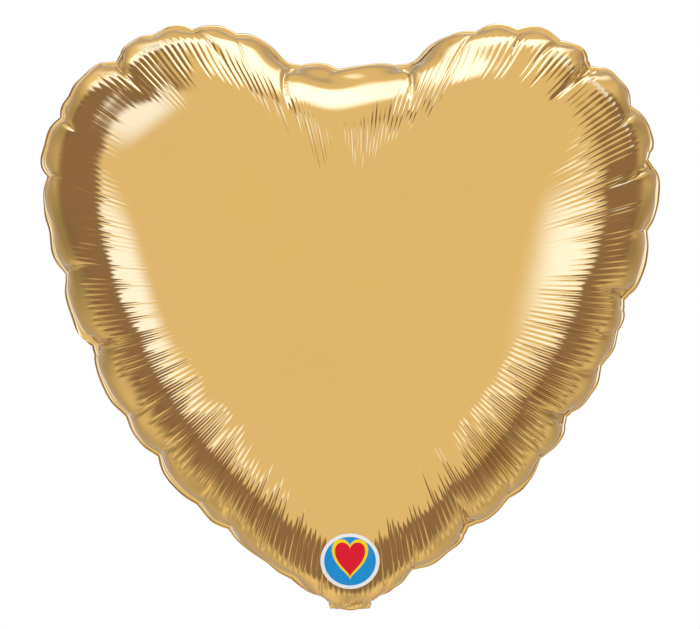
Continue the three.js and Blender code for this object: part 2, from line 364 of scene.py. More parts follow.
def even_out(grid):
    """Takes out the solver's star-like streaks away from the edge: each ring keeps only its slow waves, fewer
    of them the nearer it is to the middle. The middle point is set from the first two rings."""
    count = grid.shape[1]
    wave = np.minimum(np.arange(count), count - np.arange(count))
    distance = 1 - np.sin(np.linspace(0, 1, grid.shape[0]) * math.pi / 2)
    kept = 3 + 5 * (1 - smoothstep(0.4, 0.9, distance))
    kept = kept + 62 * (1 - smoothstep(0.06, 0.40, distance)) ** 2
    passed = np.exp(-((wave / kept[:, None]) ** 2))[..., None]
    filtered = np.fft.ifft(np.fft.fft(grid, axis=1) * passed, axis=1).real
    first, second = filtered[1].mean(0), filtered[2].mean(0)
    near = np.linalg.norm(filtered[1] - first, axis=1).mean() ** 2
    far = np.linalg.norm(filtered[2] - second, axis=1).mean() ** 2
    filtered[0] = first + (first - second) * near / (far - near)
    return filtered


def blow_up(vertices, faces, flange_start):
    """Runs the cloth solver on a closed film with even pressure inside, but none on the flange. Returns the
    settled points."""
    unit = 0.01  # the solver works best with a balloon a few units across
    mesh = bpy.data.meshes.new("film")
    mesh.from_pydata((vertices * unit).tolist(), [], faces)
    film = bpy.data.objects.new("film", mesh)
    bpy.context.collection.objects.link(film)
    film.vertex_groups.new(name="inside").add(list(range(flange_start)), 1.0, "REPLACE")
    cloth = film.modifiers.new("cloth", "CLOTH")
    settings = cloth.settings
    settings.quality = 6
    settings.mass = 0.02
    settings.air_damping = 2
    settings.tension_stiffness = 60
    settings.compression_stiffness = 20
    settings.shear_stiffness = 40
    settings.bending_model = "ANGULAR"
    settings.bending_stiffness = 0.5
    settings.tension_damping = 5
    settings.compression_damping = 5
    settings.shear_damping = 5
    settings.bending_damping = 0.5
    settings.use_pressure = True
    settings.uniform_pressure_force = 8
    settings.vertex_group_pressure = "inside"
    settings.effector_weights.gravity = 0
    cloth.collision_settings.use_collision = False
    cloth.collision_settings.use_self_collision = False
    cloth.point_cache.frame_start = 1
    cloth.point_cache.frame_end = FRAMES
    scene = bpy.context.scene
    scene.frame_start = 1
    scene.frame_end = FRAMES
    for number in range(1, FRAMES + 1):
        scene.frame_set(number)
    settled = film.evaluated_get(bpy.context.evaluated_depsgraph_get()).data
    points = np.empty(len(settled.vertices) * 3)
    settled.vertices.foreach_get("co", points)
    bpy.data.objects.remove(film)
    bpy.data.meshes.remove(mesh)
    scene.frame_set(1)
    return points.reshape(-1, 3) / unit


# ---- fine sheets ----


def spline_weights(t):
    """Weights of the four neighbours in an even cubic B-spline."""
    middle = [3 * t**3 - 6 * t**2 + 4, -3 * t**3 + 3 * t**2 + 3 * t + 1]
    return np.stack([(1 - t) ** 3, *middle, t**3], -1) / 6


def spline_columns(grid, places):
    """Resamples a closed grid's columns at places given in columns."""
    base = np.floor(places).astype(int)
    weights = spline_weights(places - base)
    index = (base[:, None] + np.arange(-1, 3)) % grid.shape[-2]
    return np.einsum("cw,...cwd->...cd", weights, grid[..., index, :])


def spline_rows(grid, places):
    """Resamples each column's rows. Row 0 is a single point, and the last row is kept exactly."""
    before = np.roll(grid[1], grid.shape[1] // 2, 0)[None]
    after = 2 * grid[-1:] - grid[-2:-1]
    padded = np.concatenate([before, grid, after, after])
    base = np.floor(places).astype(int)
    weights = spline_weights(places - base)
    columns = np.arange(grid.shape[1])[None, :, None]
    return np.einsum("rcw,rcwd->rcd", weights, padded[base[..., None] + np.arange(4), columns])


def smoothstep(low, high, value):
    """Rises smoothly from 0 to 1 between low and high."""
    t = np.clip((value - low) / (high - low), 0, 1)
    return t * t * (3 - 2 * t)


def normals_of(grid):
    """Unit normals of a grid of points whose columns go all the way round."""
    across = np.roll(grid, -1, 1) - np.roll(grid, 1, 1)
    normal = np.cross(across, np.gradient(grid, axis=0))
    return normal / np.maximum(np.linalg.norm(normal, axis=2, keepdims=True), 1e-9)


def wander(rng, count, length):
    """Smooth unevenness round the outline, about -1 to 1, with this many points per wave."""
    knots = max(4, int(count / length))
    knot_values = rng.normal(0, 0.6, (knots, 1))
    return spline_columns(knot_values, np.arange(count) * knots / count)[:, 0]


def edge_shares():
    """Shares of the way from the edge to the middle, crowded at the edge."""
    k = np.linspace(0, 1, EDGE_ROWS)
    return EDGE_DEPTH * (0.35 * k + 0.65 * k**2)


def from_cleft(count):
    """How far round each column is from the cleft's middle, from -0.5 to 0.5."""
    return (np.arange(count) / count + 0.5) % 1 - 0.5


def deeper_at_cleft(shares, count):
    """The shares for each column. Under the cleft, where the ripples reach farthest in, rows go deeper."""
    shares = np.reshape(shares, (-1, 1))
    beside = np.exp(-((from_cleft(count) / CLEFT_DEEPER["to"]) ** 2))
    return shares + CLEFT_DEEPER["by"] * (shares * (1 - shares)) ** 2 * beside


def ripple_zones(turn):
    """Where the ripples begin and end and how steep they are, for each column's share of the way round."""
    share = np.minimum(turn, 1 - turn)
    zones = []
    for column in (1, 2, 3):
        right, left = (
            np.interp(share, [zone[0] for zone in side], [zone[column] for zone in side])
            for side in (RIGHT_RIPPLES, LEFT_RIPPLES)
        )
        zones.append(np.where(turn < 0.5, right, left))
    return zones


def ripple_heights(seed, distance):
    """Small ripples at right angles to the edge, each a little uneven, for a wave length of 2 pi."""
    rng = np.random.default_rng(seed)
    count = distance.shape[1]
    turn = np.arange(count) / count
    turns = RIPPLE_COUNT * turn + 1.5 * wander(rng, count, 110) + 0.4 * wander(rng, count, 26)
    phase = 2 * math.pi * (turns + 0.004 * wander(rng, count, 80) * distance)
    wave = 2 * np.abs(np.sin(phase / 2)) ** 1.3 - 1.15
    closeness = (np.roll(turns, -4) - np.roll(turns, 4)) % RIPPLE_COUNT * count / 8 / RIPPLE_COUNT
    near, far, steep = ripple_zones(turn)
    each = rng.uniform(-1, 1, (3, RIPPLE_COUNT + 8))
    uneven = [np.interp(turns + 4, np.arange(RIPPLE_COUNT + 8), values) for values in each]
    near = near + 9 * uneven[0] + 5 * wander(rng, count, 60)
    far = far + 14 * uneven[1] + 6 * wander(rng, count, 60)
    steep = steep * np.clip(1 + 0.75 * uneven[2] + 0.3 * wander(rng, count, 90), 0.1, 2) / closeness
    rising = smoothstep(near - 8, near + 8, distance)
    falling = 1 - smoothstep(far - 22, far + 10, distance)
    return rising * falling * steep * wave


def groove_heights(seed, distance):
    """The creases: sharp grooves that run in from the edge, with lesser ones beside the deep ones."""
    rng = np.random.default_rng(seed)
    at = np.arange(distance.shape[1]) / distance.shape[1]
    length = flat_length()
    at_edge = 0.15 + 0.85 * smoothstep(4, 40, distance)
    bulging = 1 - smoothstep(0.4 * PILLOW["reach"], PILLOW["reach"], distance)
    heights = np.zeros(distance.shape)
    for places, turn in ((RIGHT_CREASES, 1), (LEFT_CREASES, -1)):
        for place, strength in places:
            lines = [(0.0, strength)]
            if place < CORNERS_BEFORE:
                groove = CORNER_GROOVE
                lean = -turn * CORNER_LEAN
                place -= CORNER_SHIFT[turn]
            else:
                groove = GROOVE
                lean = rng.uniform(-GROOVE_LEAN, GROOVE_LEAN)
                if strength >= BESIDE_GROOVE["over"]:
                    for way, share in ((1, BESIDE_GROOVE["after"]), (-1, BESIDE_GROOVE["before"])):
                        shift = way * rng.uniform(BESIDE_GROOVE["nearest"], BESIDE_GROOVE["farthest"])
                        lines.append((shift, share * strength))
            for shift, depth in lines:
                aside = ((at - turn * place + 0.5) % 1 - 0.5) * length - shift
                aside = aside + (lean + shift * 0.02) * distance
                reach = GROOVE_REACH["least"] + GROOVE_REACH["per_strength"] * depth
                fading = at_edge * (1 - smoothstep(groove["fades_from"] * reach, reach, distance))
                width = groove["width"] * (0.8 + 0.2 * depth) * np.where(aside > 0, 1.3, 0.7)
                heights -= groove["depth"] * depth**0.7 * fading * np.exp(-np.abs(aside) / width)
                hollow = groove["pillow"] * math.sqrt(depth) * bulging
                heights -= hollow * np.exp(-np.abs(aside) / PILLOW["width"])
    return heights


def neck_heights(distance):
    """The gathers of the film above the neck."""
    spacing = flat_length() / distance.shape[1]
    across = (np.arange(distance.shape[1]) - distance.shape[1] // 2) * spacing
    half = NECK_PLEAT["half_width"]
    window = 1 - smoothstep(0.6 * half, 1.3 * half, np.abs(across))
    fading = 1 - smoothstep(0.3 * NECK_PLEAT["reach"], NECK_PLEAT["reach"], distance)
    wave = np.sin(across * NECK_PLEAT["across"] + 0.9 * np.sin(across * 0.31))
    return NECK_PLEAT["height"] * (wave + 0.4 * np.sin(across * 2.3 + 1.3)) * window * fading


def flat_length():
    """The length of the weld in the flat pattern."""
    outline = flat_outline(EDGE_COLUMNS)
    return np.linalg.norm(outline[1] - outline[0]) * EDGE_COLUMNS


def resampled(grid, shares, columns):
    """The solver's grid at these shares of the way from the edge to the middle, with this many columns."""
    rows = RINGS * np.arcsin(1 - deeper_at_cleft(shares, columns)) * 2 / math.pi
    return spline_rows(spline_columns(grid, np.arange(columns) * ROUND / columns), rows)


def fine_side(grid, seed, outward):
    """Rings of points, finest at the edge, from the weld to the middle. Outward is 1 if the grid's normals
    point out of the balloon, and -1 if not."""
    dense = resampled(grid, edge_shares(), EDGE_COLUMNS)
    radius = np.linalg.norm(flat_outline(EDGE_COLUMNS) - MIDDLE, axis=1)
    distance = deeper_at_cleft(edge_shares(), EDGE_COLUMNS) * radius
    at_neck = np.exp(-((dense[..., 0] / NECK_DRAW["half_width"]) ** 2)) * (dense[..., 2] < MIDDLE[1])
    dense[..., 2] -= NECK_DRAW["down"] * at_neck * (1 - smoothstep(0, NECK_DRAW["reach"], distance))
    ripple_length = np.linalg.norm(np.roll(dense, -1, 1) - dense, axis=2) * EDGE_COLUMNS / RIPPLE_COUNT
    ripple_length = np.stack([smooth_round(row, 12) for row in ripple_length])
    heights = ripple_heights(seed, distance) * ripple_length / (2 * math.pi)
    heights += groove_heights(GROOVE_SEED, distance) + neck_heights(distance)
    # At the weld the heights are in the seam's plane, and farther in they are along the film's normals.
    edge_way = -in_seam(dense[0])
    from_edge = smoothstep(0, 24, distance)[..., None]
    way = normals_of(dense) * outward * from_edge + edge_way[None] * (1 - from_edge)
    rings = list(dense + way / np.linalg.norm(way, axis=2, keepdims=True) * heights[..., None])
    share = EDGE_DEPTH
    columns = EDGE_COLUMNS
    for upto, steps in HALVINGS:
        columns //= 2
        for s in np.linspace(share, upto, steps + 1)[1:]:
            rings.append(resampled(grid, s, columns)[0])
        share = upto
    rings.append(spline_rows(grid, np.zeros((1, grid.shape[1])))[0].mean(0)[None])
    return rings


def side_faces(rings, starts):
    """Faces between the rings of one side: quads, three triangles where the columns halve, and a fan."""
    faces = []
    for (ring, start), (after, next_start) in zip(zip(rings, starts), zip(rings[1:], starts[1:])):
        count = len(ring)
        j = np.arange(count)
        k = (j + 1) % count
        if len(after) == count:
            faces += np.c_[start + j, start + k, next_start + k, next_start + j].tolist()
        elif len(after) == 1:
            faces += np.c_[start + j, start + k, np.full(count, next_start)].tolist()
        else:
            a = start + 2 * np.arange(count // 2)
            b = a + 1
            c = start + (2 * np.arange(count // 2) + 2) % count
            d = next_start + np.arange(count // 2)
            e = next_start + (np.arange(count // 2) + 1) % (count // 2)
            faces += np.c_[a, b, d].tolist() + np.c_[b, e, d].tolist() + np.c_[b, c, e].tolist()
    return faces


# ---- flange, neck and tail ----


def neck_columns():
    """Columns of the fine grid that run on into the tail, and where each stands across its width."""
    half = int(round(TAIL["width"] / 2 / (flat_length() / EDGE_COLUMNS)))
    middle = EDGE_COLUMNS // 2
    columns = np.arange(middle - half, middle + half + 1)
    across = -(columns - middle) / half * TAIL["width"] / 2
    return columns, across


def pleats(across):
    """The neck's gathers: how far each place across the tail stands off its middle surface."""
    return 0.4 * np.sin(across * 1.55 + 0.9 * np.sin(across * 0.31)) + 0.16 * np.sin(across * 2.9 + 1.3)


def fold_path(length):
    """The tail's middle surface as y and z for lengths from the flange's edge, and its outward normal."""
    drop = FOLD["drop"]
    radius = FOLD["radius"]
    turn = np.clip((length - drop) / radius, 0, math.pi / 2)
    beyond = np.maximum(length - drop - radius * math.pi / 2, 0)
    y = radius * (1 - np.cos(turn)) + beyond
    z = -np.minimum(length, drop) - radius * np.sin(turn)
    return y, z, -np.cos(turn), -np.sin(turn)


def tail_surface(across, length, offset):
    """Points of a film in the tail, from the flange's edge on. Offset is towards the front ply's side."""
    y, z, normal_y, normal_z = fold_path(length)
    spread = GATHERED["at_neck"] + GATHERED["more_at_end"] * smoothstep(0, TAIL["length"], length)
    gather = pleats(across) * (1 - 0.8 * smoothstep(0.4, 2.6, length))
    lift = across**2 / 62 * (1 - smoothstep(2, 13, length))
    wave = 0.35 * np.sin(length * 0.19 + 0.6) * smoothstep(8, 30, length)
    stand = offset + gather + wave
    return np.stack([across * spread, y + normal_y * stand, z + lift + normal_z * stand], axis=-1)


def ply_gap(across):
    """Half of the gap between the tail's two plies: welded at the sides, apart over the valve."""
    half = TAIL["width"] / 2
    return 0.07 + 0.33 * (1 - smoothstep(half - 7, half - 2, np.abs(across)))


def tail_lengths(across):
    """Film lengths from the flange's edge to the tail's end, rows by columns. The end's corners are round."""
    corner = TAIL["corner"]
    into = np.maximum(np.abs(across) - (TAIL["width"] / 2 - corner), 0)
    short = corner - np.sqrt(np.maximum(corner**2 - into**2, 0))
    full = FOLD["drop"] + FOLD["radius"] * (math.pi / 2 - 1) + TAIL["length"]
    k = np.linspace(0, 1, TAIL_ROWS)
    share = 0.28 * k + 0.72 * k**1.8
    return share[:, None] * (full - short)[None]


def flange_grid(weld):
    """The flange's middle surface from the weld out, crumpled. At the neck it runs into the tail."""
    rng = np.random.default_rng(FLANGE_SEED)
    count = EDGE_COLUMNS
    outward = -in_seam(weld)
    outward /= np.linalg.norm(outward, axis=1, keepdims=True)
    lean = FLANGE_STANDS["lean"] + 0.3 * wander(rng, count, 60) + 0.35 * wander(rng, count, 19)
    uneven = 1 + 0.1 * wander(rng, count, 130) + 0.05 * wander(rng, count, 13)
    width = FLANGE_STANDS["width"] * uneven
    reach = np.linspace(0, 1, FLANGE_ROWS)[:, None]
    bend = lean[None] * reach**0.6
    grid = weld + (np.cos(bend) * reach * width)[..., None] * outward[None]
    grid[..., 1] += np.sin(bend) * reach * width

    columns, across = neck_columns()
    start = tail_surface(across, np.zeros(len(across)), 0.0)
    bridge = weld[columns] + (start - weld[columns]) * reach[..., None]
    grid[:, columns] = bridge
    for direction, end in ((-1, columns[0]), (1, columns[-1])):
        towards = bridge[:, 0 if direction < 0 else -1] - weld[end]
        for step in range(1, FLANGE_BLEND):
            column = end + direction * step
            keep = smoothstep(0, FLANGE_BLEND, step)
            grid[:, column] = grid[:, column] * keep + (weld[column] + towards) * (1 - keep)
    return grid


# ---- making pieces ----


def new_piece(name, points, faces, material, slot):
    """A mesh object from points in millimetres."""
    mesh = bpy.data.meshes.new(name)
    mesh.from_pydata((np.asarray(points) * MM).tolist(), [], [tuple(f) for f in faces])
    mesh.materials.append(material)
    mesh.polygons.foreach_set("use_smooth", [True] * len(mesh.polygons))
    mesh.update()
    piece = bpy.data.objects.new(name, mesh)
    bpy.context.collection.objects.link(piece)
    return piece


def strip_faces(index):
    """Quads of a grid of point numbers."""
    return np.stack([index[:-1, :-1], index[:-1, 1:], index[1:, 1:], index[1:, :-1]], -1).reshape(-1, 4)


def sheet(grid):
    """The points and the quads of a grid."""
    index = np.arange(grid.shape[0] * grid.shape[1]).reshape(grid.shape[:2])
    return grid.reshape(-1, 3), strip_faces(index)


def without_hole(points, faces, first_tail_point):
    """Opens the inflation port: drops the faces over it and moves the rim's points onto its circle."""
    away = np.hypot(points[:, 0], points[:, 1] - PORT["y"])
    near = (away < PORT["r"]) & (np.arange(len(points)) >= first_tail_point)
    kept = [f for f in faces if np.mean([near[i] for i in f]) < 0.5]
    dropped = [f for f in faces if np.mean([near[i] for i in f]) >= 0.5]
    rim = sorted({i for f in dropped for i in f} & {i for f in kept for i in f})
    outward = points[rim, :2] - [0, PORT["y"]]
    points[rim, :2] = [0, PORT["y"]] + outward * (PORT["r"] / away[rim])[:, None]
    return kept


def film_sheet(rings, flange, side, with_port):
    """One of the two films in a single sheet: the panel, its flange and its ply of the tail. Side is 1 for
    the front film, which is on the outside of the tail's fold, and -1 for the rear one."""
    starts = np.r_[0, np.cumsum([len(r) for r in rings])][:-1]
    faces = side_faces(rings, starts)
    points = [np.vstack(rings)]
    total = len(points[0])
    columns, across = neck_columns()
    gap = np.full(EDGE_COLUMNS, FILMS_APART)
    gap[columns] = ply_gap(across)
    reach = np.linspace(0, 1, FLANGE_ROWS)
    normal = normals_of(flange)
    facing = np.where(normal[..., 1].mean() > 0, 1, -1)
    apart = side * np.minimum(reach * 4, 1)[:, None] * gap[None]
    moved = flange - normal * facing * apart[..., None]
    moved[-1, columns] = tail_surface(across, np.zeros(len(across)), side * ply_gap(across))
    end = total + (FLANGE_ROWS - 1) * EDGE_COLUMNS
    index = np.arange(total - EDGE_COLUMNS, end).reshape(FLANGE_ROWS, -1)
    index[0] = np.arange(EDGE_COLUMNS)
    points.append(moved[1:].reshape(-1, 3))
    faces += strip_faces(np.c_[index, index[:, 0]])[:, ::-1].tolist()
    total = end

    lengths = tail_lengths(across)
    tail = tail_surface(np.broadcast_to(across, lengths.shape), lengths, side * ply_gap(across)[None])
    end = total + (TAIL_ROWS - 1) * len(columns)
    tail_index = np.arange(total - len(columns), end).reshape(TAIL_ROWS, -1)
    tail_index[0] = index[-1, columns]
    points.append(tail[1:].reshape(-1, 3))
    faces += strip_faces(tail_index)[:, ::-1].tolist()
    points = np.vstack(points)
    if side < 0:
        faces = [f[::-1] for f in faces]
    if with_port:
        faces = without_hole(points, faces, total)
    return points, faces


def flange_strip(flange, start, end):
    """The melted layer in the flange, between two shares of its width. It is open for the valve."""
    columns, across = neck_columns()
    first = columns[across < -VALVE_HALF][0]
    last = columns[across > VALVE_HALF][-1]
    kept = np.r_[np.arange(first, EDGE_COLUMNS), np.arange(0, last + 1)]
    rows = np.linspace(start, end, 4) * (FLANGE_ROWS - 1)
    low = np.minimum(rows.astype(int), FLANGE_ROWS - 2)
    part = (rows - low)[:, None, None]
    return sheet(flange[low][:, kept] * (1 - part) + flange[low + 1][:, kept] * part)


def tail_strip(from_x, to_x, columns, offset, end):
    """A narrow film in the tail, from the flange's edge on. Its rows are crowded at the fold."""
    across = np.linspace(from_x, to_x, columns)[None]
    lengths = (np.linspace(0, 1, TAIL_ROWS) ** 1.5 * end)[:, None]
    return sheet(tail_surface(*np.broadcast_arrays(across, lengths), offset))


def valve_sheet(side, flange):
    """One film of the valve, in a single sheet from inside the envelope to the tail's end."""
    columns, across = neck_columns()
    kept = np.abs(across) <= VALVE_HALF
    columns, across = columns[kept], across[kept]
    offset = VALVE_APART * side
    lengths = (np.linspace(0, 1, TAIL_ROWS) ** 1.5 * (TAIL["length"] - SEAL_SETBACK))[:, None]
    tail = tail_surface(*np.broadcast_arrays(across[None], lengths), offset)
    neck = flange[::-1][1:-1, columns] - [0, offset, 0]
    weld = flange[0, columns]
    inside = []
    for rise in np.linspace(0, 1, VALVE_ROWS_INSIDE)[1:]:
        flat = smoothstep(0, 0.25, rise)
        spread = across / (weld[:, 0] + np.where(weld[:, 0] == 0, 1e-6, 0))
        spread = 1 + (np.clip(spread, 0.8, 1.5) - 1) * flat
        z = weld[:, 2] * (1 - flat) + VALVE_TOP * rise + weld[:, 2].mean() * flat * (1 - rise)
        inside.append(np.stack([weld[:, 0] * spread, weld[:, 1] * (1 - flat) - offset, z], axis=-1))
    return sheet(np.concatenate([np.array(inside)[::-1], weld[None] - [0, offset, 0], neck[::-1], tail]))


def print_patch(film):
    """A round patch that lies on the film as seen from the front: rings of points projected onto it."""
    tree = BVHTree.FromObject(film, bpy.context.evaluated_depsgraph_get())
    around = MARK_AROUND
    points = []
    for i in range(MARK_RINGS + 1):
        r = MARK["r"] * MM * i / MARK_RINGS
        for k in range(around if i else 1):
            turn = 2 * math.pi * k / around
            start = Vector((r * math.cos(turn), IN_FRONT, MARK["z"] * MM + r * math.sin(turn)))
            hit, normal, _, _ = tree.ray_cast(start, Vector((0, 1, 0)))
            toward = normal if normal.y < 0 else -normal
            points.append((hit + toward * MARK["lift"] * MM) / MM)
    faces = [(0, 1 + (k + 1) % around, 1 + k) for k in range(around)]
    for i in range(MARK_RINGS - 1):
        faces += ring_faces(1 + i * around, 1 + (i + 1) * around, around).tolist()
    return np.array([list(p) for p in points]), faces


# ---- materials ----


class Graph:
    """Short names for a node tree's maths."""

    def __init__(self, tree):
        self.nodes = tree.nodes
        self.links = tree.links

    def put(self, value, socket):
        """Sets a socket to a number or a colour, or links it to another node's output."""
        if isinstance(value, (int, float, tuple)):
            socket.default_value = value
        else:
            self.links.new(value, socket)

    def math(self, operation, *values):
        node = self.nodes.new("ShaderNodeMath")
        node.operation = operation
        for value, socket in zip(values, node.inputs):
            self.put(value, socket)
        return node.outputs[0]

    def add(self, first, second):
        return self.math("ADD", first, second)

    def times(self, first, second):
        return self.math("MULTIPLY", first, second)

    def hypot(self, first, second):
        squares = [self.math("POWER", value, 2.0) for value in (first, second)]
        return self.math("SQRT", self.add(*squares))

    def along(self, first, second, turn):
        """How far a point is along a direction that is turned from the first axis to the second."""
        return self.add(self.times(first, math.cos(turn)), self.times(second, math.sin(turn)))

    def smooth(self, value, low, high, at_low=0.0, at_high=1.0, kind="SMOOTHSTEP"):
        """A number that goes from at_low to at_high while the value goes from low to high."""
        node = self.nodes.new("ShaderNodeMapRange")
        node.interpolation_type = kind
        names = ("Value", "From Min", "From Max", "To Min", "To Max")
        for name, number in zip(names, (value, low, high, at_low, at_high)):
            self.put(number, node.inputs[name])
        return node.outputs["Result"]

    def mix(self, factor, first, second, blend="MIX"):
        """A colour mixed from two others."""
        node = self.nodes.new("ShaderNodeMix")
        node.data_type = "RGBA"
        node.blend_type = blend
        node.clamp_factor = False
        for name, value in (("Factor", factor), ("A", first), ("B", second)):
            colour = name != "Factor"
            self.put(value, next(i for i in node.inputs if i.name == name and (i.type == "RGBA") == colour))
        return next(o for o in node.outputs if o.type == "RGBA")

    def place(self, kind):
        """The three coordinates of this kind."""
        node = self.nodes.new("ShaderNodeTexCoord")
        split = self.nodes.new("ShaderNodeSeparateXYZ")
        self.links.new(node.outputs[kind], split.inputs[0])
        return split.outputs

    def noise(self, scale):
        """Clouds from 0 to 1."""
        place = self.nodes.new("ShaderNodeTexCoord")
        noise = self.nodes.new("ShaderNodeTexNoise")
        noise.inputs["Scale"].default_value = scale
        noise.inputs["Detail"].default_value = 2.0
        self.links.new(place.outputs["Object"], noise.inputs["Vector"])
        return noise.outputs["Fac"]


def new_material(name):
    """A material, its graph and its shader's inputs."""
    material = bpy.data.materials.new(name)
    material.use_nodes = True
    graph = Graph(material.node_tree)
    return material, graph, graph.nodes["Principled BSDF"].inputs


def hazy_material(name, haze_scale, smoothest, roughest):
    """A new material with clouds of haze."""
    material, graph, inputs = new_material(name)
    haze = graph.smooth(graph.noise(haze_scale), 0.3, 0.7, smoothest, roughest, "LINEAR")
    graph.put(haze, inputs["Roughness"])
    return material, graph, inputs


def gold_foil():
    """Mirror-bright metallised film with faint haze and gauge variation."""
    material, graph, inputs = hazy_material("gold_foil", 60.0, 0.045, 0.075)
    inputs["Metallic"].default_value = 1.0
    inputs["Specular Tint"].default_value = (0.91, 0.77, 0.58, 1)
    tint = graph.mix(graph.noise(14.0), (0.76, 0.475, 0.148, 1), (0.72, 0.455, 0.152, 1))
    graph.put(tint, inputs["Base Color"])
    return material


def clear_film():
    """The valve's thin film, slightly milky."""
    material, _, inputs = hazy_material("valve_film", 90.0, 0.16, 0.32)
    inputs["Base Color"].default_value = (0.8, 0.82, 0.82, 1)
    inputs["Alpha"].default_value = 0.55
    return material


def melted_film():
    """The film's inner coat, melted in the welds."""
    material, _, inputs = hazy_material("melted_film", 200.0, 0.35, 0.55)
    inputs["Base Color"].default_value = (0.78, 0.72, 0.6, 1)
    return material


def print_ink():
    """Opaque print: a white rim round a blue field with a red heart outlined in yellow."""
    material, graph, inputs = hazy_material("print_ink", 300.0, 0.32, 0.42)
    unit = MARK["r"] * MM
    x, _, z = graph.place("Object")
    x = graph.math("DIVIDE", x, unit)
    z = graph.math("DIVIDE", graph.math("SUBTRACT", z, MARK["z"] * MM), unit)
    lobes = graph.times(graph.math("SQRT", graph.math("ABSOLUTE", x)), 0.62)
    heart = graph.hypot(x, graph.math("SUBTRACT", graph.add(z, 0.08), lobes))
    yellow, blue = (1.0, 0.75, 0.0, 1.0), (0.004, 0.31, 0.74, 1.0)
    red, white = (0.80, 0.002, 0.025, 1.0), (0.93, 0.93, 0.92, 1.0)
    field = graph.mix(graph.smooth(heart, 0.60, 0.62), yellow, blue)
    field = graph.mix(graph.smooth(heart, 0.50, 0.52), red, field)
    rim = graph.smooth(graph.hypot(x, z), 0.865, 0.885)
    graph.put(graph.mix(rim, field, white), inputs["Base Color"])
    inputs["Specular IOR Level"].default_value = 0.15
    return material


foil = gold_foil()
valve_material = clear_film()
seal_material = melted_film()
ink = print_ink()

# ---- the balloon ----

outline = flat_outline(ROUND)
front_grid, rear_grid = inflate(outline)
front_grid = straighten_cleft(even_out(front_grid))
rear_grid = straighten_cleft(even_out(rear_grid))
front_rings = fine_side(front_grid, FRONT_SEED, -1)
rear_rings = fine_side(rear_grid, REAR_SEED, 1)
front_rings[0] = rear_rings[0] = (front_rings[0] + rear_rings[0]) / 2
flange = flange_grid(front_rings[0])

points, faces = film_sheet(front_rings, flange, 1, with_port=False)
front_film = new_piece("front_film", points, faces, foil, "gold_foil")
points, faces = film_sheet(rear_rings, flange, -1, with_port=True)
rear_film = new_piece("rear_film", points, faces, foil, "gold_foil")
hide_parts("front_panel", "tail_front_ply")
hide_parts("rear_panel", "tail_rear_ply")
for film in (front_film, rear_film):
    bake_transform(film)

weld_outer = 1 - SEAL_SETBACK / FLANGE
seal = flange_strip(flange, SEAL_FROM, weld_outer)
heat_seal = new_piece("heat_seal", *seal, seal_material, "melted_film")
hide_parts("heat_seal_band")
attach(heat_seal, "envelope")
for name, side in (("tail_weld_left", -1), ("tail_weld_right", 1)):
    inner_x = side * (TAIL["width"] / 2 - SIDE_SEAL)
    outer_x = side * (TAIL["width"] / 2 - SEAL_SETBACK)
    strip = tail_strip(inner_x, outer_x, WELD_COLUMNS, 0.0, TAIL["length"] - WELD_SHORTER)
    weld = new_piece(name, *strip, seal_material, "melted_film")
    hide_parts("tail_seal_left" if side < 0 else "tail_seal_right")
    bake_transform(weld)
for name, side in (("front", 1), ("rear", -1)):
    films = valve_sheet(side, flange)
    valve = new_piece(f"valve_{name}_sheet", *films, valve_material, "valve_film")
    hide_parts(f"valve_{name}_film", f"tail_valve_{name}_film")
    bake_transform(valve)
mark = new_piece("front_print", *print_patch(front_film), ink, "print_ink")
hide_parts("printed_mark")
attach(mark, "envelope")

# ---- studio ----

AIM = Vector((0, 0, 0.170))
camera_data = bpy.data.cameras.new("camera")
camera = bpy.data.objects.new("camera", camera_data)
bpy.context.collection.objects.link(camera)
CAMERA_DISTANCE = 2.2
VIEW_WIDTH = 0.4095
camera.location = AIM + Vector((0, -CAMERA_DISTANCE, 0))
camera.rotation_euler = (math.pi / 2, 0, 0)
camera_data.lens = CAMERA_DISTANCE * camera_data.sensor_width / VIEW_WIDTH
camera_data.clip_end = 50
bpy.context.scene.camera = camera

# What the foil mirrors, on a chart of directions from the balloon. The camera is at its middle, up is at the
# top, and a direction is as many degrees from the middle as it is from the camera's.
FRONT_WALL = 1.0
DARK_SIDES = {"from": 86.5, "to": 91.0, "later_below": 5.0, "later_right": 2.5, "light": 0.31}
LIGHTER = {"from": 110.0, "to": 126.0}  # where the dark sides give way to what is behind the balloon
BACK = {"light": 0.56, "light_above": 1.0, "light_below": 0.88}
BACKDROP = {"from": 143.0, "to": 160.0, "light": 0.62}
# Flags and gaps between the lamps: how many go round the balloon, and how much they dim and lighten.
FLAGS = {"count": 9.0, "share": 0.26, "from": 104.0, "to": 118.0, "fade_from": 128.0, "fade_to": 150.0}
DARK_TINT = (1.14, 0.94, 1.0)
# The sector above with no dark side: its middle, clockwise from straight up, and half its width.
OVERHEAD = {"middle": 14.0, "half": 31.0, "soft": 5.0}
COOL = (0.75, 1.0, 2.1)
# The light's tint where one fold mirrors another, which takes up the foil's colour twice.
SECOND_MIRROR = (0.88, 1.16, 2.0, 1.0)
FLOOR = {"r": 0.7, "z": -0.08, "sides": 96}  # in metres
WHITE = (1.0, 1.0, 1.0, 1.0)
BLACK = (0.0, 0.0, 0.0, 1.0)
DEGREES = 180 / math.pi
# Softboxes: middle across and up, half length, half width, tilt, softness, brightness, colour.
SOFTBOXES_IN_FRONT = [
    (-80, -26, 38, 15, 103, 0.45, 1.95, COOL),
    (74, -6, 21, 18, 86, 0.65, 2.0, COOL),
    (-58, 66, 26, 12, 42, 0.5, 1.8, COOL),
]
SOFTBOXES_ABOVE = [
    (8, 116, 66, 10, 0, 0.4, 2.75, COOL),
    (-54, 102, 34, 8, 28, 0.4, 2.0, COOL),
    (72, 84, 20, 4, 118, 0.5, 1.5, COOL),
]


